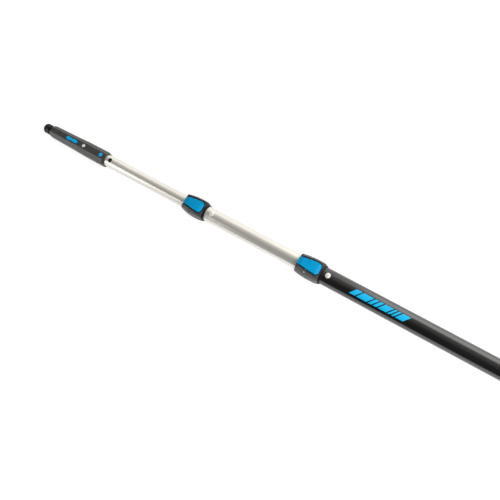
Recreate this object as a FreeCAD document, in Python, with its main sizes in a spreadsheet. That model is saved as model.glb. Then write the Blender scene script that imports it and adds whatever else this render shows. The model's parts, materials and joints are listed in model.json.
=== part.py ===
import FreeCAD, Part
import math
import os

import Sketcher
from FreeCAD import Vector

# Telescopic window cleaning pole: three aluminium tubes, two lever clamps and a locking cone.
# The pole lies along X with its tip towards +X and its levers up. The origin is on the surface that
# the pole lies on, midway between its two ends. Every length is in millimetres.

DRIVING_SIZES = {
    "overall_length": 1811.2,
    "axis_height": 17.6,
    "outer_radius": 15.0,
    "middle_radius": 13.0,
    "inner_radius": 11.0,
    "wall": 1.2,
    "outer_length": 1217.9,
    "middle_length": 1250.0,
    "inner_length": 1214.8,
    "fit_gap": 0.05,
    "slide_gap": 0.3,
    "inner_exposed": 176.5,
    "middle_exposed": 183.2,
    "upper_length": 48.8,
    "upper_slant": 0.35,
    "upper_hinge_back": 9.0,
    "upper_lever_length": 37.3,
    "upper_screw_back": 22.6,
    "upper_rivet_back": 11.7,
    "upper_front_half": 12.0,
    "upper_rear_half": 15.4,
    "upper_swell": 2.9,
    "lower_length": 46.8,
    "lower_slant": 0.1,
    "lower_hinge_back": 4.3,
    "lower_lever_length": 40.8,
    "lower_screw_back": 19.5,
    "lower_rivet_back": 8.7,
    "lower_front_half": 15.6,
    "lower_rear_half": 17.0,
    "lower_swell": 1.9,
    "flank_bulge": 1.0,
    "rear_bevel": 1.0,
    "ring_thickness": 2.8,
    "collet_thickness": 0.85,
    "collar_depth": 24.5,
    "lip_depth": 3.4,
    "hinge_pin_radius": 1.25,
    "cam_radius": 3.6,
    "lever_nose_half": 6.0,
    "lever_knee_half": 9.3,
    "lever_rear_half": 10.1,
    "lever_rise": 4.6,
    "lever_gap": 1.4,
    "screw_radius": 1.25,
    "rivet_radius": 4.6,
    "cone_length": 134.5,
    "cone_rear_half": 12.5,
    "cone_shoulder_half": 13.3,
    "cone_belly_half": 13.0,
    "cone_waist_half": 11.9,
    "cone_neck_half": 10.9,
    "cone_front_half": 10.3,
    "socket_depth": 40.0,
    "core_radius": 8.4,
    "core_end": 100.0,
    "tip_length": 20.6,
    "thread_root": 8.0,
    "thread_crest": 9.3,
    "thread_pitch": 5.3,
    "button_at": 10.8,
    "button_radius": 3.7,
    "lock_pin_at": 51.8,
    "lock_pin_radius": 3.1,
    "slide_at": 81.2,
    "slide_length": 24.8,
    "slide_width": 7.2,
    "slide_travel": 2.5,
    "sight_hole_back": 10.4,
    "sight_hole_radius": 4.1,
    "cap_length": 38.0,
    "cap_floor": 5.0,
}

doc = FreeCAD.newDocument("WindowPole")
sheet = doc.addObject("Spreadsheet::Sheet", "Sizes")
for row, (alias, number) in enumerate(DRIVING_SIZES.items(), start=1):
    sheet.set(f"A{row}", alias)
    sheet.set(f"B{row}", str(number))
    sheet.setAlias(f"B{row}", alias)
doc.recompute()


class Size:
    """A length that follows the sheet: its number now, and the expression that binds it."""

    def __init__(self, number, text):
        self.number = float(number)
        self.text = text

    def __add__(self, other):
        return joined(self, "+", other)

    def __sub__(self, other):
        return joined(self, "-", other)

    def __mul__(self, other):
        return joined(self, "*", other)

    def __truediv__(self, other):
        return joined(self, "/", other)

    def __rsub__(self, other):
        return joined(plain(other), "-", self)

    def __neg__(self):
        return joined(plain(0), "-", self)


def plain(value):
    """A Size for a bare number; a Size comes back as it is."""
    return value if isinstance(value, Size) else Size(value, f"{value:g}")


def joined(first, sign, second):
    """Two lengths put together with one sign, as a number and as an expression."""
    second = plain(second)
    results = {
        "+": first.number + second.number,
        "-": first.number - second.number,
        "*": first.number * second.number,
    }
    number = first.number / second.number if sign == "/" else results[sign]
    return Size(number, f"({first.text} {sign} {second.text})")


def size(alias):
    """A length from the sheet."""
    return Size(DRIVING_SIZES[alias], f"{sheet.Name}.{alias}")


def bind(target, path, length):
    """Ties one property of an object to the sheet."""
    target.setExpression(path, plain(length).text)


# ---------------------------------------------------------------- bodies, sketches and features

SUB_PARTS = []
AXIS_HEIGHT = size("axis_height")


def new_body(label, along=0.0, lift=0.0):
    """A sub-part whose own X axis is the pole's axis, moved along the pole and lifted from its axis."""
    body = doc.addObject("PartDesign::Body", label)
    body.Label = label
    bind(body, "Placement.Base.x", along)
    bind(body, "Placement.Base.z", AXIS_HEIGHT + lift)
    SUB_PARTS.append(body)
    return body


def new_sketch(body, role, offset=0.0):
    """A sketch on one of the body's own planes, moved along the plane's normal."""
    sketch = body.newObject("Sketcher::SketchObject", "Sketch")
    plane = next(item for item in body.Origin.OriginFeatures if item.Role == role)
    sketch.AttachmentSupport = [(plane, "")]
    sketch.MapMode = "FlatFace"
    bind(sketch, "AttachmentOffset.Base.z", offset)
    return sketch


def pin_point(sketch, line, end, across, up):
    """Places one end of a line, or the centre of a circle, at a distance from the sketch's origin."""
    directions = (("DistanceX", across, -2), ("DistanceY", up, -1))
    for kind, length, axis in directions:
        length = plain(length)
        if abs(length.number) < 1e-9:
            sketch.addConstraint(Sketcher.Constraint("PointOnObject", line, end, axis))
            continue
        index = sketch.addConstraint(Sketcher.Constraint(kind, -1, 1, line, end, length.number))
        bind(sketch, f"Constraints[{index}]", length)


def add_outline(sketch, corners, rounding=None):
    """A closed outline through its corners; rounding lists each corner's radius, or is one for all."""
    spots = [Vector(plain(across).number, plain(up).number, 0) for across, up in corners]
    count = len(spots)
    radii = rounding if isinstance(rounding, list) else [rounding] * count
    leaving = list(spots)
    arriving = list(spots)
    arcs = {}
    for place, radius in enumerate(radii):
        if radius:
            fan = fan_of(spots[place - 1], spots[place], spots[(place + 1) % count], plain(radius).number)
            arriving[place], leaving[place], arcs[place] = fan
    lines = []
    for place in range(count):
        line = Part.LineSegment(leaving[place], arriving[(place + 1) % count])
        lines.append(sketch.addGeometry(line, False))
    for place, (across, up) in enumerate(corners):
        before = lines[place - 1]
        after = lines[place]
        if place not in arcs:
            sketch.addConstraint(Sketcher.Constraint("Coincident", before, 2, after, 1))
            pin_point(sketch, after, 1, across, up)
            continue
        arc_shape, first, last = arcs[place]
        arc = sketch.addGeometry(arc_shape, False)
        corner = sketch.addGeometry(Part.Point(spots[place]), True)
        sketch.addConstraint(Sketcher.Constraint("Tangent", before, 2, arc, first))
        sketch.addConstraint(Sketcher.Constraint("Tangent", after, 1, arc, last))
        index = sketch.addConstraint(Sketcher.Constraint("Radius", arc, plain(radii[place]).number))
        bind(sketch, f"Constraints[{index}]", radii[place])
        sketch.addConstraint(Sketcher.Constraint("PointOnObject", corner, 1, before))
        sketch.addConstraint(Sketcher.Constraint("PointOnObject", corner, 1, after))
        pin_point(sketch, corner, 1, across, up)


def fan_of(previous, corner, following, radius):
    """Where a corner's arc starts and ends, and the arc with the numbers of its two ends."""
    back = (previous - corner).normalize()
    ahead = (following - corner).normalize()
    half_angle = back.getAngle(ahead) / 2
    reach = radius / math.tan(half_angle)
    start = corner + back * reach
    finish = corner + ahead * reach
    centre = corner + (back + ahead).normalize() * (radius / math.sin(half_angle))
    circle = Part.Circle(centre, Vector(0, 0, 1), radius)
    turns_left = back.cross(ahead).z < 0
    ends = (start, finish) if turns_left else (finish, start)
    angles = [math.atan2((end - centre).y, (end - centre).x) for end in ends]
    arc = Part.ArcOfCircle(circle, *angles)
    return start, finish, (arc, *((1, 2) if turns_left else (2, 1)))


def add_circle(sketch, across, up, radius):
    """A circle whose centre and radius follow the sheet."""
    centre = Vector(plain(across).number, plain(up).number, 0)
    circle = Part.Circle(centre, Vector(0, 0, 1), plain(radius).number)
    line = sketch.addGeometry(circle, False)
    pin_point(sketch, line, 3, across, up)
    index = sketch.addConstraint(Sketcher.Constraint("Radius", line, plain(radius).number))
    bind(sketch, f"Constraints[{index}]", radius)


def turn(body, corners, kind="Revolution", axis="H_Axis"):
    """Turns an outline of the XZ plane round the body's X axis (H_Axis) or Z axis (V_Axis)."""
    sketch = new_sketch(body, "XZ_Plane")
    add_outline(sketch, corners)
    feature = body.newObject(f"PartDesign::{kind}", kind)
    feature.Profile = sketch
    feature.ReferenceAxis = (sketch, [axis])
    feature.Angle = 360
    return feature


def pad(body, role, corners, length, offset=0.0, both_ways=False, rounding=None):
    """Pads an outline along its plane's normal, or half each way."""
    sketch = new_sketch(body, role, offset)
    add_outline(sketch, corners, rounding)
    feature = body.newObject("PartDesign::Pad", "Pad")
    feature.Profile = sketch
    bind(feature, "Length", length)
    feature.Midplane = both_ways
    return feature


def cut_up(body, corners, floor, rounding=None):
    """Cuts everything above a floor inside an outline seen from above."""
    sketch = new_sketch(body, "XY_Plane", floor)
    add_outline(sketch, corners, rounding)
    return finish_cut(body, sketch, reversed_way=True)


def drill_up(body, along, radius, floor=0.0):
    """Drills a round hole from a floor upwards."""
    sketch = new_sketch(body, "XY_Plane", floor)
    add_circle(sketch, along, 0.0, radius)
    return finish_cut(body, sketch, reversed_way=True)


def drill_across(body, along, up, radius):
    """Drills a round hole from side to side."""
    sketch = new_sketch(body, "XZ_Plane")
    add_circle(sketch, along, up, radius)
    return finish_cut(body, sketch, both_ways=True)


def finish_cut(body, sketch, reversed_way=False, both_ways=False):
    """A pocket through everything on one side of its sketch, or on both."""
    feature = body.newObject("PartDesign::Pocket", "Pocket")
    feature.Profile = sketch
    feature.Type = "ThroughAll"
    feature.Reversed = reversed_way
    feature.Midplane = both_ways
    return feature


def soften(body, kind, amount, wanted):
    """Fillets or chamfers the edges of the body so far that a test picks."""
    doc.recompute()
    base = body.Tip
    names = [f"Edge{n}" for n, edge in enumerate(base.Shape.Edges, start=1) if wanted(edge)]
    feature = body.newObject(f"PartDesign::{kind}", kind)
    feature.Base = (base, names)
    bind(feature, "Radius" if kind == "Fillet" else "Size", amount)
    return feature


def coil(body, across, up, wire, height, pitch):
    """A round wire wound up the body's Z axis."""
    sketch = new_sketch(body, "XZ_Plane")
    add_circle(sketch, across, up, wire)
    feature = body.newObject("PartDesign::AdditiveHelix", "Coil")
    feature.Profile = sketch
    feature.ReferenceAxis = (sketch, ["V_Axis"])
    feature.Mode = "pitch-height-angle"
    feature.Pitch = pitch
    feature.Height = height
    return feature


def lofted(body, sections, rounding):
    """A loft through outlines that stand across the pole, each with its distance along X."""
    sketches = []
    for along, corners in sections:
        sketch = new_sketch(body, "YZ_Plane", along)
        add_outline(sketch, corners, rounding)
        sketches.append(sketch)
    feature = body.newObject("PartDesign::AdditiveLoft", "Loft")
    feature.Profile = sketches[0]
    feature.Sections = sketches[1:]
    return feature


def mirrored(half):
    """Both halves of an outline, from the corners of its +Y side listed from the bottom up."""
    return half + [(-across, up) for across, up in reversed(half)]


def box_corners(low, high, half):
    """A rectangle from low to high along X, half a width to each side."""
    return [(low, -half), (high, -half), (high, half), (low, half)]


# ---------------------------------------------------------------- places along the pole

SLIDE_GAP = size("slide_gap")
FIT_GAP = size("fit_gap")
WALL = size("wall")
TIP_X = size("overall_length") / 2
CONE_FRONT = TIP_X - size("tip_length")
CONE_REAR = CONE_FRONT - size("cone_length")
UPPER_FRONT = CONE_REAR - size("inner_exposed")
LOWER_FRONT = UPPER_FRONT - size("upper_length") - size("middle_exposed")
BUTT_X = -TIP_X


# ---------------------------------------------------------------- tubes and what guides them

def make_tube(label, radius, length, front):
    """A round tube that ends at its front station."""
    tube = new_body(label, front)
    turn(tube, [(-length, radius - WALL), (0, radius - WALL), (0, radius), (-length, radius)])
    return tube


def make_guide_bush(label, radius, bore, front):
    """A bush plugged in the hidden end of a tube, with a flange that slides in the next tube."""
    bush = new_body(label, front)
    inside = radius - WALL - 1.5
    turn(bush, [
        (-8, inside), (20, inside), (20, radius - WALL - FIT_GAP), (0, radius - WALL - FIT_GAP),
        (0, bore - SLIDE_GAP), (-8, bore - SLIDE_GAP),
    ])


def make_butt_cap():
    """An end cap with eight flats, so that the pole doesn't roll, over the butt of the outer tube."""
    cap = new_body("butt_cap", BUTT_X)
    flat = AXIS_HEIGHT
    corner = AXIS_HEIGHT * 0.4142
    half = [(corner, -flat), (flat, -corner), (flat, corner), (corner, flat)]
    pad(cap, "YZ_Plane", mirrored(half), size("cap_length"), rounding=3.0)
    soften(cap, "Chamfer", 2.0, lambda edge: edge.BoundBox.XMax < 0.01)
    tube = size("outer_radius") + FIT_GAP
    spigot = size("outer_radius") - WALL - FIT_GAP
    floor = size("cap_floor")
    mouth = size("cap_length") + 1
    turn(cap, [
        (floor, 0), (mouth, 0), (mouth, tube), (floor, tube), (floor, spigot), (24, spigot),
        (24, spigot - 2), (floor, spigot - 2),
    ], "Groove")


# ---------------------------------------------------------------- lever clamps

class Clamp:
    """The sizes of one clamp, which joins a bigger tube to the smaller one that slides in it."""

    def __init__(self, prefix, small, big, front):
        self.prefix = prefix
        self.small = small
        self.big = big
        self.front = front
        self.length = size(f"{prefix}_length")
        self.hinge_back = size(f"{prefix}_hinge_back")
        self.hinge_lift = small + SLIDE_GAP + size("collet_thickness") + 0.15 + size("cam_radius")
        self.nose = -self.hinge_back + size("cam_radius")
        self.lever_length = size(f"{prefix}_lever_length")
        self.lever_rear = self.nose - self.lever_length
        self.screw_back = size(f"{prefix}_screw_back")
        self.screw_lift = small + SLIDE_GAP + size("collet_thickness") + 0.5 + size("screw_radius")
        self.screw_reach = small * 0.25 + 11.25

    def body(self, piece, along=0.0, lift=0.0):
        """A new piece of this clamp, placed from the clamp's front and the pole's axis."""
        return new_body(f"{self.prefix}_{piece}", self.front + along, lift)

    def section(self, share):
        """The housing's outer shape at a share of its length from the front."""
        bulge = 4 * share * (1 - share)
        front_half = size(f"{self.prefix}_front_half")
        rear_half = size(f"{self.prefix}_rear_half")
        side = front_half * (1 - share) + rear_half * share + size(f"{self.prefix}_swell") * bulge
        top = (self.small + 6.0) * (1 - share) + (self.big + 3.0) * share + 3.6 * bulge
        cheek = 8.7 * (1 - share) + 13.8 * share + 0.8 * bulge
        bulge_out = size("flank_bulge")
        flank = ((side + cheek) / 2 + bulge_out, (top + 4.0) / 2 + bulge_out)
        return mirrored([(side - 5.5, -self.big - 2.9), (side, -6.0), (side, 4.0), flank, (cheek, top)])

    def lever_half_width(self, along):
        """Half the lever's width at a distance along X from the front of the clamp."""
        share = (self.nose - along) / self.lever_length
        nose_half = size("lever_nose_half")
        knee_half = size("lever_knee_half")
        if share.number < 0.6:
            return nose_half + (knee_half - nose_half) * share / 0.6
        return knee_half + (size("lever_rear_half") - knee_half) * (share - 0.6) / 0.4

    def lever_outline(self, ahead, rear, grow=0.0, origin=0.0):
        """The lever seen from above, from a station ahead of its knee to one at its rear or its knee."""
        knee = self.nose - self.lever_length * 0.6
        stations = [ahead, knee, rear] if plain(rear).number < knee.number else [ahead, rear]
        side = [(at - origin, self.lever_half_width(plain(at)) + grow) for at in stations]
        return side + [(at, -half) for at, half in reversed(side)]


def make_clamp_body(clamp):
    """The moulded housing: seat for the bigger tube, room for the collet, channel for the lever."""
    housing = clamp.body("clamp_body")
    length = clamp.length - size("ring_thickness")
    sections = [(-length * share, clamp.section(share)) for share in (0.0, 0.25, 0.5, 0.75, 1.0)]
    lofted(housing, sections, [2.5, 5.0, 3.0, 4.0, 1.2, 1.2, 4.0, 3.0, 5.0, 2.5])
    rear_face = -length.number + 0.01
    soften(housing, "Chamfer", size("rear_bevel"), lambda edge: edge.BoundBox.XMax < rear_face)
    keel = new_sketch(housing, "XY_Plane", -clamp.big - 2.6)
    add_outline(keel, box_corners(-clamp.length, plain(1), 20))
    finish_cut(housing, keel)
    brow = new_sketch(housing, "XZ_Plane")
    add_outline(brow, [(0, 0), (5, 0), (5, 30), (-size(f"{clamp.prefix}_slant") * 30, 30)])
    finish_cut(housing, brow, both_ways=True)
    channel_floor = clamp.big + 1.9
    clearance = size("lever_gap")
    plan = clamp.lever_outline(plain(4), clamp.lever_rear - 0.9, clearance)
    cut_up(housing, plan, channel_floor, [None, 20.0, 6.5, 6.5, 20.0, None])
    collet_room = clamp.small + size("collet_thickness") + SLIDE_GAP + FIT_GAP
    cut_up(housing, clamp.lever_outline(plain(4), -clamp.hinge_back - 7.4, clearance), collet_room - 0.5)
    cut_up(housing, box_corners(-clamp.length - 1, clamp.lever_rear, 4.25), channel_floor)
    collar = -size("collar_depth")
    lip = -size("lip_depth")
    turn(housing, [
        (-clamp.length - 1, 0), (-clamp.length - 1, clamp.big + FIT_GAP), (collar, clamp.big + FIT_GAP),
        (collar, collet_room), (lip, collet_room), (lip, clamp.small + SLIDE_GAP),
        (1, clamp.small + SLIDE_GAP), (1, 0),
    ], "Groove")
    drill_across(housing, -clamp.hinge_back, clamp.hinge_lift, size("hinge_pin_radius") + FIT_GAP)
    drill_across(housing, -clamp.screw_back, clamp.screw_lift, size("screw_radius") + FIT_GAP)
    seat = clamp.screw_reach - 1.1
    for offset, outwards in ((seat, True), (-seat, False)):
        well = new_sketch(housing, "XZ_Plane", offset)
        add_circle(well, -clamp.screw_back, clamp.screw_lift, size("screw_radius") + 1.0)
        finish_cut(housing, well, reversed_way=outwards)


def make_collet(clamp):
    """The split sleeve that the lever's cam presses on the smaller tube."""
    collet = clamp.body("collet")
    inside = clamp.small + SLIDE_GAP
    outside = inside + size("collet_thickness")
    rear = -size("collar_depth") + 0.1
    ahead = -size("lip_depth") - 0.1
    turn(collet, [(rear, inside), (ahead, inside), (ahead, outside), (rear, outside)])
    slot = new_sketch(collet, "XY_Plane", -2.0)
    add_outline(slot, box_corners(rear - 1, -8, 1.0))
    finish_cut(collet, slot)


def make_rear_ring(clamp):
    """The dark ring that closes the rear of a clamp round the bigger tube."""
    ring = clamp.body("rear_ring")
    rear = -clamp.length
    ahead = rear + size("ring_thickness") - FIT_GAP
    bore = clamp.big + FIT_GAP
    rim = clamp.big + 1.8
    turn(ring, [(rear, bore), (ahead, bore), (ahead, rim), (rear + 0.8, rim), (rear, rim - 0.8)])


def make_hinge_pin(clamp):
    """The lever's hinge pin, flush with both cheeks of the clamp."""
    pin = clamp.body("lever_pin", -clamp.hinge_back, clamp.hinge_lift)
    sketch = new_sketch(pin, "XZ_Plane")
    add_circle(sketch, 0, 0, size("hinge_pin_radius"))
    feature = pin.newObject("PartDesign::Pad", "Pad")
    feature.Profile = sketch
    feature.Midplane = True
    bind(feature, "Length", 18.6)


def make_clamp_screw(clamp):
    """The cross screw with its round head on one flank and its nut on the other."""
    screw = clamp.body("clamp_screw", -clamp.screw_back, clamp.screw_lift)
    radius = size("screw_radius")
    reach = clamp.screw_reach
    screw.Placement.Rotation = FreeCAD.Rotation(Vector(0, 0, 1), 90)
    turn(screw, [
        (-reach, 0), (reach, 0), (reach, radius + 0.7), (reach - 1.0, radius + 0.9), (reach - 1.0, radius),
        (1.0 - reach, radius), (1.0 - reach, radius + 0.9), (-reach, radius + 0.7),
    ])


def make_lever(clamp):
    """A flip lever: a cam round the hinge at its nose and a wide thumb end at its rear."""
    lever = clamp.body("lever", -clamp.hinge_back, clamp.hinge_lift)
    cam = size("cam_radius")
    rise = size("lever_rise")
    rear = cam - clamp.lever_length
    under = clamp.big + 2.3 - clamp.hinge_lift
    side = [
        (-3.2, -cam), (cam, -cam), (cam, 0.9), (-4.5, rise), (-19, rise + 0.8), (rear + 5, rise + 0.4),
        (rear, rise - 1.8), (rear, under + 1.6), (rear + 7, under), (-7.0, under),
    ]
    bends = [1.2, cam, 1.0, 5.0, 60.0, 5.0, 1.4, 0.8, 4.0, 0.8]
    pad(lever, "XZ_Plane", side, 30.0, both_ways=True, rounding=bends)
    outline = new_sketch(lever, "XY_Plane", 20.0)
    add_outline(outline, box_corners(rear - 5, cam + 5, 20))
    plan = clamp.lever_outline(clamp.nose, clamp.lever_rear, origin=-clamp.hinge_back)
    add_outline(outline, plan, [1.2, 20.0, 6.0, 6.0, 20.0, 1.2])
    finish_cut(lever, outline)
    soften(lever, "Fillet", 0.9, is_top_side_edge)
    drill_across(lever, 0, 0, size("hinge_pin_radius") + FIT_GAP)


def is_top_side_edge(edge):
    """An edge where the lever's top meets one of its sides."""
    box = edge.BoundBox
    off_centre = box.YMin > 4.5 or box.YMax < -4.5
    return off_centre and box.ZMin > 3.0 and box.XLength > 5


def make_rivet(clamp, along):
    """A domed rivet through the bigger tube's wall, with its head shaped to the tube."""
    rivet = clamp.body("rivet", along)
    tube = clamp.big
    head = size("rivet_radius")
    turn(rivet, [
        (0, tube - 1), (head, tube - 1), (head, tube + 0.4), (head - 0.6, tube + 1.2),
        (head - 2.0, tube + 1.8), (0, tube + 2.1),
    ], axis="V_Axis")
    turn(rivet, [(-6, 0), (6, 0), (6, tube + 0.02), (-6, tube + 0.02)], "Groove")
    turn(rivet, [
        (0, tube - WALL - FIT_GAP), (1.6, tube - WALL - FIT_GAP), (1.6, tube + 0.5), (0, tube + 0.5),
    ], axis="V_Axis")


def make_guide_sleeve(clamp, front):
    """A thin liner in the mouth of the bigger tube, for the smaller tube to slide in."""
    sleeve = clamp.body("guide_sleeve", front)
    outside = clamp.big - WALL - FIT_GAP
    turn(sleeve, [(-60, outside - 0.45), (0, outside - 0.45), (0, outside), (-60, outside)])


def make_clamp(prefix, small, big, front):
    """All pieces of one clamp; gives the stations of the bigger tube's mouth and of its rivet."""
    clamp = Clamp(prefix, small, big, front)
    mouth = -size("collar_depth")
    rivet_at = -clamp.length - size(f"{prefix}_rivet_back")
    make_clamp_body(clamp)
    make_collet(clamp)
    make_rear_ring(clamp)
    make_hinge_pin(clamp)
    make_clamp_screw(clamp)
    make_lever(clamp)
    make_rivet(clamp, rivet_at)
    make_guide_sleeve(clamp, mouth)
    return front + mouth, front + rivet_at


# ---------------------------------------------------------------- locking cone

def cone_section(half):
    """The cone's eight-sided outline at one place."""
    flat = half * 0.45
    return mirrored([(flat, -half), (half, -flat), (half, flat), (flat, half)])


def make_cone_body():
    """The faceted cone: socket for the inner tube, room for the core, bore for the threaded tip."""
    cone = new_body("cone_body", CONE_REAR)
    length = size("cone_length")
    stations = [
        (0, "rear"), (4, "shoulder"), (49.5, "belly"), (82.5, "waist"), (length - 3.5, "neck"),
        (length, "front"),
    ]
    sections = [(along, cone_section(size(f"cone_{name}_half"))) for along, name in stations]
    lofted(cone, sections, 1.5).Ruled = True
    tube = size("inner_radius") + FIT_GAP
    room = size("core_radius") + 0.1
    spigot = FIT_GAP + 6.0
    turn(cone, [
        (-1, 0), (-1, tube), (size("socket_depth"), tube), (size("socket_depth"), room),
        (size("core_end") + 1, room), (size("core_end") + 1, spigot), (length + 1, spigot), (length + 1, 0),
    ], "Groove")
    drill_up(cone, size("button_at"), size("button_radius") + 0.3)
    drill_up(cone, size("lock_pin_at"), size("lock_pin_radius") + 0.35)
    half = size("slide_length") / 2
    slide = size("slide_at")
    travel = size("slide_travel")
    width = size("slide_width") / 2 + 0.35
    cut_up(cone, box_corners(slide - half - travel - 0.35, slide + half + 0.35, width), 10.3, rounding=3.9)
    cut_up(cone, box_corners(slide - 7.3 - travel, slide + 7.3, 2.1), 0)


def make_threaded_tip():
    """The threaded end with its dome and the spigot that holds it in the cone."""
    tip = new_body("threaded_tip", CONE_FRONT)
    root = size("thread_root")
    length = size("tip_length")
    crest = size("thread_crest")
    turn(tip, [
        (-30, 0), (-30, 6.0), (FIT_GAP, 6.0), (FIT_GAP, root), (length - 7.4, root), (length - 6.4, crest),
        (length - 4.2, crest - 0.4), (length - 2.1, crest - 1.9), (length - 0.6, crest - 4.5), (length, 0),
    ])
    ridge = new_sketch(tip, "XZ_Plane")
    add_outline(ridge, [(0.5, root - 0.4), (3.6, root - 0.4), (2.9, crest), (1.2, crest)])
    helix = tip.newObject("PartDesign::AdditiveHelix", "Thread")
    helix.Profile = ridge
    helix.ReferenceAxis = (ridge, ["H_Axis"])
    helix.Mode = "pitch-height-angle"
    bind(helix, "Pitch", size("thread_pitch"))
    helix.Height = 9.0


def make_snap_button():
    """The round button that holds the cone on the inner tube."""
    button = new_body("snap_button", CONE_REAR + size("button_at"))
    radius = size("button_radius")
    turn(button, [
        (0, 6.5), (5.0, 6.5), (5.0, 8.0), (radius, 8.0), (radius, 13.7), (radius - 0.7, 14.4), (0, 14.7),
    ], axis="V_Axis")


def make_lock_pin():
    """The sprung pin that catches a tool pushed over the cone."""
    pin = new_body("lock_pin", CONE_REAR + size("lock_pin_at"))
    radius = size("lock_pin_radius")
    turn(pin, [
        (0, 5.5), (4.2, 5.5), (4.2, 7.0), (radius, 7.0), (radius, 13.4), (radius - 0.5, 14.3),
        (radius - 1.5, 14.9), (0, 15.1),
    ], axis="V_Axis")


def make_lock_slide():
    """The thumb slide: a waisted pad with a raised rear, a neck, and a foot that keeps it in the cone."""
    slide = new_body("lock_slide", CONE_REAR + size("slide_at"))
    half = size("slide_length") / 2
    width = size("slide_width") / 2
    pad(slide, "XY_Plane", [
        (-half, -width), (0, 0.9 - width), (half, -width), (half, width), (0, width - 0.9), (-half, width),
    ], 2.4, offset=10.5, rounding=[3.1, 8.0, 3.1, 3.1, 8.0, 3.1])
    pad(slide, "XZ_Plane", [(-half + 1.5, 12.0), (0, 12.0), (0, 12.9), (-4, 14.3), (-half + 1.5, 13.0)], 5.6,
        both_ways=True, rounding=[None, None, None, 2.0, None])
    pad(slide, "XY_Plane", box_corners(-7, 7, 1.8), 4.0, offset=7.0)
    pad(slide, "XY_Plane", box_corners(-10, 10, 3.0), 1.4, offset=6.2)


def make_cone_core():
    """The plastic core inside the tube and the cone, with wells for the button, the pin and the slide."""
    core = new_body("cone_core", CONE_REAR)
    thick = size("inner_radius") - WALL - FIT_GAP
    thin = size("core_radius")
    step = size("socket_depth")
    turn(core, [(-22, 0), (-22, thick), (step, thick), (step, thin), (size("core_end"), thin),
                (size("core_end"), 0)])
    drill_up(core, size("button_at"), 5.3, 1.5)
    drill_up(core, size("lock_pin_at"), 4.5, -4.0)
    slide = size("slide_at")
    cut_up(core, box_corners(slide - 10.4 - size("slide_travel"), slide + 10.4, 3.4), 5.8)


def make_springs():
    """The coil springs under the lock pin and the snap button."""
    pin_spring = new_body("lock_pin_spring", CONE_REAR + size("lock_pin_at"))
    coil(pin_spring, 3.0, -3.6, 0.35, 8.7, 1.45)
    button_spring = new_body("snap_button_spring", CONE_REAR + size("button_at"))
    coil(button_spring, 3.6, 1.9, 0.35, 4.2, 1.4)


# ---------------------------------------------------------------- the whole pole

outer = size("outer_radius")
middle = size("middle_radius")
inner = size("inner_radius")

lower_mouth, lower_rivet_at = make_clamp("lower", middle, outer, LOWER_FRONT)
upper_mouth, upper_rivet_at = make_clamp("upper", inner, middle, UPPER_FRONT)

outer_tube = make_tube("outer_tube", outer, size("outer_length"), lower_mouth)
drill_up(outer_tube, lower_rivet_at - lower_mouth, 1.65)
middle_tube = make_tube("middle_tube", middle, size("middle_length"), upper_mouth)
drill_up(middle_tube, upper_rivet_at - upper_mouth, 1.65)

inner_front = CONE_REAR + size("socket_depth") - 0.1
inner_tube = make_tube("inner_tube", inner, size("inner_length"), inner_front)
drill_up(inner_tube, CONE_REAR + size("button_at") - inner_front, size("button_radius") + 0.3)
drill_up(inner_tube, CONE_REAR - size("sight_hole_back") - inner_front, size("sight_hole_radius"))

make_guide_bush("middle_guide_bush", middle, outer - WALL, upper_mouth - size("middle_length"))
make_guide_bush("inner_guide_bush", inner, middle - WALL, inner_front - size("inner_length"))
make_butt_cap()

make_cone_body()
make_threaded_tip()
make_cone_core()
make_snap_button()
make_lock_pin()
make_lock_slide()
make_springs()

doc.recompute()


# ---------------------------------------------------------------- checks and export

for item in doc.Objects:
    if "Invalid" in item.State or "Error" in item.State:
        raise RuntimeError(f"{item.Label} failed: {item.State}")
for body in SUB_PARTS:
    if body.Shape.isNull() or not body.Shape.isValid():
        raise RuntimeError(f"{body.Label} has no valid shape")

os.makedirs("parts", exist_ok=True)
for body in SUB_PARTS:
    body.Shape.exportStep(f"parts/{body.Label}.step")
    box = body.Shape.optimalBoundingBox(False)
    print(f"{body.Label:22s} solids {len(body.Shape.Solids)} volume {body.Shape.Volume:9.1f} "
          f"x {box.XMin:8.2f} {box.XMax:8.2f} y {box.YMin:7.2f} {box.YMax:7.2f} "
          f"z {box.ZMin:7.2f} {box.ZMax:7.2f}")
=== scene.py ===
import json
import math

import bmesh
import bpy
from mathutils import Matrix, Vector


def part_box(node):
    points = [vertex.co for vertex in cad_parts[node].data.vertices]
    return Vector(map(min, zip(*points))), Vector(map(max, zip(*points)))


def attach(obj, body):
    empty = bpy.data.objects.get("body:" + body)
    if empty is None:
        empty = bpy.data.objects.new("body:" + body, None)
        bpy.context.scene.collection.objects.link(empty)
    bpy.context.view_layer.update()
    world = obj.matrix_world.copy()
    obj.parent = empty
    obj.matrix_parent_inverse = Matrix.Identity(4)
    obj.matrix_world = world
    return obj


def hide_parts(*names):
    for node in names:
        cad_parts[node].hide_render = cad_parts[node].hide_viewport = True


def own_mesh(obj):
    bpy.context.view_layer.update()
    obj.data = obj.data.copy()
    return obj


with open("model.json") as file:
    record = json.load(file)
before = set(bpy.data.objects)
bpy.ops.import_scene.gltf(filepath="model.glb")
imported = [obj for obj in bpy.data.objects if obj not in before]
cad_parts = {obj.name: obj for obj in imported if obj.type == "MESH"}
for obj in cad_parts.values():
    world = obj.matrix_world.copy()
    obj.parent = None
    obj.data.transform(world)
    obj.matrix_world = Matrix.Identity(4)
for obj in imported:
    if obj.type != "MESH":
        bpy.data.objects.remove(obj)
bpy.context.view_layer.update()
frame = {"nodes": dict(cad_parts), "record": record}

NODES = frame["nodes"]


# ---------------------------------------------------------------- places taken from the frame

def centre_of(node):
    """The middle of a CAD node's box."""
    low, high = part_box(node)
    return (low + high) / 2


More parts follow.
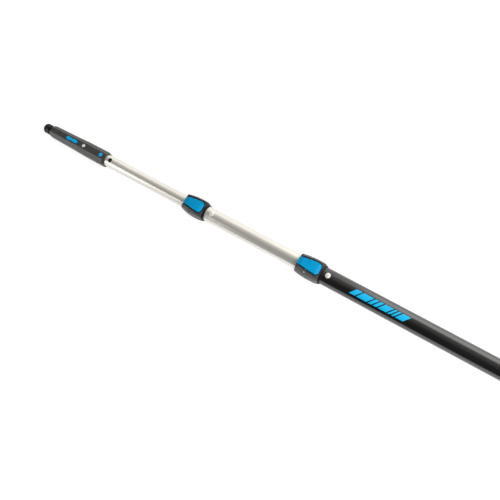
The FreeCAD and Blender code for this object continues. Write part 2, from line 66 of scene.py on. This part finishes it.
OUTER_LOW, OUTER_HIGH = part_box("outer_tube")
AXIS_HEIGHT = (OUTER_LOW.z + OUTER_HIGH.z) / 2
OUTER_RADIUS = (OUTER_HIGH.z - OUTER_LOW.z) / 2
LOWER_RIVET_X = centre_of("lower_rivet").x


# ---------------------------------------------------------------- materials

class Recipe:
    """A node material on the Principled shader, built up one property at a time."""

    def __init__(self, name, colour, roughness, metallic=0.0):
        self.material = bpy.data.materials.new(name)
        self.material.use_nodes = True
        self.tree = self.material.node_tree
        self.shader = self.tree.nodes["Principled BSDF"]
        self.shader.inputs["Base Color"].default_value = (*colour, 1)
        self.shader.inputs["Roughness"].default_value = roughness
        self.shader.inputs["Metallic"].default_value = metallic

    def node(self, kind, **settings):
        """Adds one node and sets its plain attributes."""
        made = self.tree.nodes.new(kind)
        for key, value in settings.items():
            setattr(made, key, value)
        return made

    def link(self, source, target):
        self.tree.links.new(source, target)

    def noise(self, scale, stretch=(1, 1, 1), detail=3.0, roughness=0.5):
        """Noise fixed to the object's own frame, stretched along an axis by a scale under one."""
        mapping = self.node("ShaderNodeMapping")
        mapping.inputs["Scale"].default_value = [scale * share for share in stretch]
        coordinates = self.node("ShaderNodeTexCoord")
        self.link(coordinates.outputs["Object"], mapping.inputs["Vector"])
        texture = self.node("ShaderNodeTexNoise")
        texture.inputs["Scale"].default_value = 1.0
        texture.inputs["Detail"].default_value = detail
        texture.inputs["Roughness"].default_value = roughness
        self.link(mapping.outputs["Vector"], texture.inputs["Vector"])
        return texture.outputs["Fac"]

    def spread(self, value, low, high):
        """Maps the useful part of a noise to a range of numbers."""
        ramp = self.node("ShaderNodeMapRange")
        ramp.inputs["From Min"].default_value = 0.3
        ramp.inputs["From Max"].default_value = 0.7
        ramp.inputs["To Min"].default_value = low
        ramp.inputs["To Max"].default_value = high
        self.link(value, ramp.inputs["Value"])
        return ramp.outputs["Result"]

    def tint(self, value, dark, light):
        """Colours the surface between two tones by a noise."""
        ramp = self.node("ShaderNodeValToRGB")
        ramp.color_ramp.elements[0].position = 0.35
        ramp.color_ramp.elements[0].color = (*dark, 1)
        ramp.color_ramp.elements[1].position = 0.65
        ramp.color_ramp.elements[1].color = (*light, 1)
        self.link(value, ramp.inputs["Fac"])
        self.link(ramp.outputs["Color"], self.shader.inputs["Base Color"])

    def rough(self, value, low, high):
        self.link(self.spread(value, low, high), self.shader.inputs["Roughness"])

    def bump(self, value, strength, distance):
        node = self.node("ShaderNodeBump")
        node.inputs["Strength"].default_value = strength
        node.inputs["Distance"].default_value = distance
        self.link(value, node.inputs["Height"])
        self.link(node.outputs["Normal"], self.shader.inputs["Normal"])


def anodised(name, dark, light, smooth, dull, metallic, strength=0.08):
    """Drawn tube: long faint lines along it, and slow changes of tone."""
    recipe = Recipe(name, light, smooth, metallic)
    lines = recipe.noise(2200, (0.004, 1, 1), 2.0)
    recipe.rough(lines, smooth, dull)
    recipe.tint(recipe.noise(30, (0.3, 1, 1)), dark, light)
    recipe.bump(lines, strength, 0.0001)
    return recipe.material


def moulded(name, dark, light, smooth, dull, grain=5200, depth=0.00004, strength=0.25, shine=0.5):
    """Moulded plastic: a fine grain, with cloudy changes of tone and gloss."""
    recipe = Recipe(name, light, smooth)
    clouds = recipe.noise(90, detail=4.0)
    recipe.tint(clouds, dark, light)
    recipe.rough(clouds, smooth, dull)
    recipe.bump(recipe.noise(grain, detail=2.0), strength, depth)
    recipe.shader.inputs["Specular IOR Level"].default_value = shine
    return recipe.material


def black_tube_finish():
    """Gloss black anodising with drawing lines that only show in its reflections."""
    recipe = Recipe("black_anodised", (0.005, 0.005, 0.006), 0.16)
    lines = recipe.noise(1800, (0.003, 1, 1), 2.0)
    recipe.tint(recipe.noise(24, (0.25, 1, 1)), (0.003, 0.003, 0.0035), (0.006, 0.006, 0.0065))
    recipe.rough(lines, 0.12, 0.18)
    recipe.bump(lines, 0.03, 0.00008)
    recipe.shader.inputs["Specular IOR Level"].default_value = 1.0
    return recipe.material


MATERIALS = {
    "silver_anodised": anodised("silver_anodised", (0.71, 0.695, 0.645), (0.765, 0.75, 0.70),
                                0.34, 0.40, metallic=0.82, strength=0.03),
    "black_anodised": black_tube_finish(),
    "clamp_plastic": moulded("clamp_plastic", (0.014, 0.014, 0.015), (0.020, 0.020, 0.021),
                             0.36, 0.48, shine=0.65),
    "cone_plastic": moulded("cone_plastic", (0.020, 0.020, 0.020), (0.029, 0.029, 0.028),
                            0.40, 0.50, shine=0.65),
    "black_plastic": moulded("black_plastic", (0.003, 0.003, 0.0035), (0.006, 0.006, 0.0065),
                             0.40, 0.52, shine=0.3),
    "blue_plastic": moulded("blue_plastic", (0.0, 0.205, 0.41), (0.0, 0.23, 0.445),
                            0.22, 0.30, grain=3200, depth=0.00002, strength=0.12, shine=0.12),
    "steel": anodised("steel", (0.66, 0.64, 0.61), (0.76, 0.74, 0.71), 0.38, 0.50, metallic=0.5),
    "cap_rubber": moulded("cap_rubber", (0.008, 0.008, 0.008), (0.014, 0.014, 0.014),
                          0.60, 0.75, grain=2600, depth=0.00008, strength=0.4),
}

BLACKENED = anodised("steel_blackened", (0.030, 0.029, 0.028), (0.055, 0.053, 0.050),
                     0.34, 0.46, metallic=0.4)
# A lighter, glossier copy of the blue plastic: painted light on the small blue parts, which look lighter
# than the levers only because of the light that falls on them.
PAINTED_LIGHT_BLUE = moulded("blue_plastic_painted_light", (0.0, 0.28, 0.56), (0.0, 0.32, 0.62),
                      0.20, 0.28, grain=3200, depth=0.00002, strength=0.12, shine=0.3)

# Nodes whose material differs from the rest of their slot: blackened steel for the pins and screw, and a
# lighter blue copy with painted light for the lock slide and snap button.
OWN_FINISH_AND_PAINTED_LIGHT = {
    "lower_lever_pin": BLACKENED,
    "upper_lever_pin": BLACKENED,
    "upper_clamp_screw": BLACKENED,
    "lock_slide": PAINTED_LIGHT_BLUE,
    "snap_button": PAINTED_LIGHT_BLUE,
}

for subpart in frame["record"]["subparts"]:
    mesh = NODES[subpart["node"]].data
    mesh.materials.clear()
    mesh.materials.append(OWN_FINISH_AND_PAINTED_LIGHT.get(subpart["node"], MATERIALS[subpart["material_slot"]]))


# ---------------------------------------------------------------- printed graphic on the outer tube

# Distance of each bar behind the graphic's front and its width, in metres.
GRAPHIC_BARS = [
    (0.0, 0.010), (0.0125, 0.018), (0.033, 0.006), (0.0415, 0.006), (0.050, 0.014), (0.0665, 0.004),
    (0.073, 0.004), (0.0795, 0.0135),
]
GRAPHIC_FRONT_X = LOWER_RIVET_X - 0.0465
GRAPHIC_RADIUS = OUTER_RADIUS + 0.00005
GRAPHIC_TURN = math.radians(10.5)     # how far its middle lies from the tube's top, to the +Y side
GRAPHIC_HALF_WIDTH = 0.0055           # measured round the tube
GRAPHIC_LEAN = 0.0045                 # how far a bar's edges lean forward from the middle to the side
GRAPHIC_STEPS = 10                    # facets of each bar round the tube


def printed_ink():
    """Flat cyan ink, a little uneven where it covers the tube."""
    recipe = Recipe("printed_ink", (0.0, 0.31, 0.56), 0.35)
    recipe.tint(recipe.noise(700, detail=2.0), (0.0, 0.30, 0.54), (0.002, 0.33, 0.58))
    recipe.rough(recipe.noise(1800), 0.30, 0.42)
    return recipe.material


def add_bar(mesh, start, width):
    """Adds one slanted bar as a strip of facets that runs round the tube."""
    rows = []
    for step in range(GRAPHIC_STEPS + 1):
        share = step / GRAPHIC_STEPS * 2 - 1
        turn = GRAPHIC_TURN + share * GRAPHIC_HALF_WIDTH / GRAPHIC_RADIUS
        y = GRAPHIC_RADIUS * math.sin(turn)
        z = AXIS_HEIGHT + GRAPHIC_RADIUS * math.cos(turn)
        near = GRAPHIC_FRONT_X - start + share * GRAPHIC_LEAN
        rows.append([mesh.verts.new((near, y, z)), mesh.verts.new((near - width, y, z))])
    for before, after in zip(rows, rows[1:]):
        mesh.faces.new((before[0], before[1], after[1], after[0]))


def make_graphic():
    """A row of slanted bars printed on the outer tube, as a skin just over its surface."""
    mesh = bmesh.new()
    for start, width in GRAPHIC_BARS:
        add_bar(mesh, start, width)
    data = bpy.data.meshes.new("pole_graphic")
    mesh.to_mesh(data)
    mesh.free()
    for polygon in data.polygons:
        polygon.use_smooth = True
    graphic = bpy.data.objects.new("pole_graphic", data)
    bpy.context.scene.collection.objects.link(graphic)
    data.materials.append(printed_ink())
    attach(graphic, "outer_section")


make_graphic()


# ---------------------------------------------------------------- springs in the cone

def make_coil(node):
    """A coil that stands for a CAD spring: a copy of its mesh, riding the inner section."""
    source = NODES[node]
    coil = bpy.data.objects.new(node + "_coil", source.data.copy())
    coil.matrix_world = source.matrix_world
    bpy.context.scene.collection.objects.link(coil)
    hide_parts(node)
    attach(coil, "inner_section")
    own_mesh(coil)


make_coil("lock_pin_spring")
make_coil("snap_button_spring")


# ---------------------------------------------------------------- floor, light and camera

FLOOR_SIZE = 40
BACKDROP_RADIUS = 19
BACKDROP_HEIGHT = 30


def glowing_matt(name, grey, roughness, glow):
    """A surface without gloss that also gives off an even white light."""
    recipe = Recipe(name, (grey, grey, grey), roughness)
    recipe.shader.inputs["Specular IOR Level"].default_value = 0.0
    recipe.shader.inputs["Emission Color"].default_value = (1, 1, 1, 1)
    recipe.shader.inputs["Emission Strength"].default_value = glow
    return recipe.material


def make_floor():
    """A plain pale floor, big enough to fill every view."""
    bpy.ops.mesh.primitive_plane_add(size=FLOOR_SIZE, location=(0, 0, 0))
    floor = bpy.context.object
    floor.name = "floor"
    floor.data.materials.append(glowing_matt("pale_floor", 0.30, 0.9, 0.78))


def make_backdrop():
    """A pale wall far behind everything, which only fills the view and neither lights nor mirrors."""
    bpy.ops.mesh.primitive_cylinder_add(
        radius=BACKDROP_RADIUS, depth=BACKDROP_HEIGHT, end_fill_type="NOTHING", vertices=96
    )
    backdrop = bpy.context.object
    backdrop.name = "backdrop"
    for ray in ("diffuse", "glossy", "transmission", "volume_scatter", "shadow"):
        setattr(backdrop, "visible_" + ray, False)
    backdrop.data.materials.append(glowing_matt("pale_backdrop", 0, 1.0, 0.86))


def make_world():
    """A dim studio, a little lighter on the side of the big soft box."""
    world = bpy.data.worlds.new("studio")
    bpy.context.scene.world = world
    world.use_nodes = True
    tree = world.node_tree
    coordinates = tree.nodes.new("ShaderNodeTexCoord")
    axes = tree.nodes.new("ShaderNodeSeparateXYZ")
    ramp = tree.nodes.new("ShaderNodeMapRange")
    ramp.inputs["From Min"].default_value = -0.5
    ramp.inputs["From Max"].default_value = 0.40
    ramp.inputs["To Min"].default_value = 0.55
    ramp.inputs["To Max"].default_value = 0.06
    background = tree.nodes["Background"]
    background.inputs["Color"].default_value = (1.0, 0.96, 0.88, 1)
    tree.links.new(coordinates.outputs["Generated"], axes.inputs["Vector"])
    tree.links.new(axes.outputs["Y"], ramp.inputs["Value"])
    tree.links.new(ramp.outputs["Result"], background.inputs["Strength"])


def make_area_light(name, place, target, size, power, mirrored=True):
    """A soft box that faces a target; with mirrored off, it lights the pieces but isn't reflected."""
    data = bpy.data.lights.new(name, "AREA")
    data.shape = "RECTANGLE"
    data.size, data.size_y = size
    data.energy = power
    light = bpy.data.objects.new(name, data)
    light.location = place
    light.rotation_euler = (Vector(target) - Vector(place)).to_track_quat("-Z", "Y").to_euler()
    light.visible_glossy = mirrored
    bpy.context.scene.collection.objects.link(light)


VIEW_TILT = 0.2957                    # how far the view leans along the pole
VIEW_ROLL = math.radians(10.5)        # how far it leans to the pole's +Y side
VIEW_SLOPE = math.radians(28.087)     # slope of the pole across the picture
VIEW_DISTANCE = 1.0138
VIEW_OFFSET = 0.0206                  # how far the view's centre lies beside the pole's axis
FOCUS_X = 0.426


def make_camera():
    """The camera: it looks down on the upper half of the pole, with the tip at the upper left."""
    level = math.sqrt(1 - VIEW_TILT ** 2)
    backward = Vector((-VIEW_TILT, level * math.sin(VIEW_ROLL), level * math.cos(VIEW_ROLL)))
    along = (Vector((1, 0, 0)) - backward * backward.x).normalized()
    across = backward.cross(along)
    drift = VIEW_OFFSET * VIEW_TILT / (level * VIEW_DISTANCE)
    slope = VIEW_SLOPE + drift
    right = -math.cos(slope) * along - math.sin(slope) * across
    up = math.sin(slope) * along - math.cos(slope) * across
    sideways = across * math.cos(drift) - along * math.sin(drift)
    place = Vector((FOCUS_X, 0, AXIS_HEIGHT)) + backward * VIEW_DISTANCE + sideways * VIEW_OFFSET
    data = bpy.data.cameras.new("camera")
    data.lens = 43.2
    data.sensor_width = 36
    data.clip_start = 0.01
    camera = bpy.data.objects.new("camera", data)
    camera.matrix_world = Matrix((right, up, backward)).transposed().to_4x4()
    camera.location = place
    bpy.context.scene.collection.objects.link(camera)
    bpy.context.scene.camera = camera


make_floor()
make_backdrop()
make_world()

# The boxes' places, targets, sizes and powers. The first two stand beside the pole and make its bright line.
make_area_light("key_box", (0.80, -1.45, 0.83), (0.80, 0, 0.8), (3.5, 1.62), 13)
make_area_light("near_box", (-0.42, -1.40, 0.85), (-0.42, 0, 0.8), (1.6, 1.54), 11)
make_area_light("tip_box", (1.80, 0.95, 0.56), (0.95, 0, 0), (1.1, 1.0), 11)
make_area_light("butt_box", (-0.72, 0.05, 1.10), (0.3, 0, 0), (0.4, 0.4), 7)
make_area_light("overhead", (-0.35, 0.12, 0.78), (0.3, 0, 0), (0.8, 0.8), 12, mirrored=False)

make_camera()
bpy.context.scene.view_settings.view_transform = "Standard"
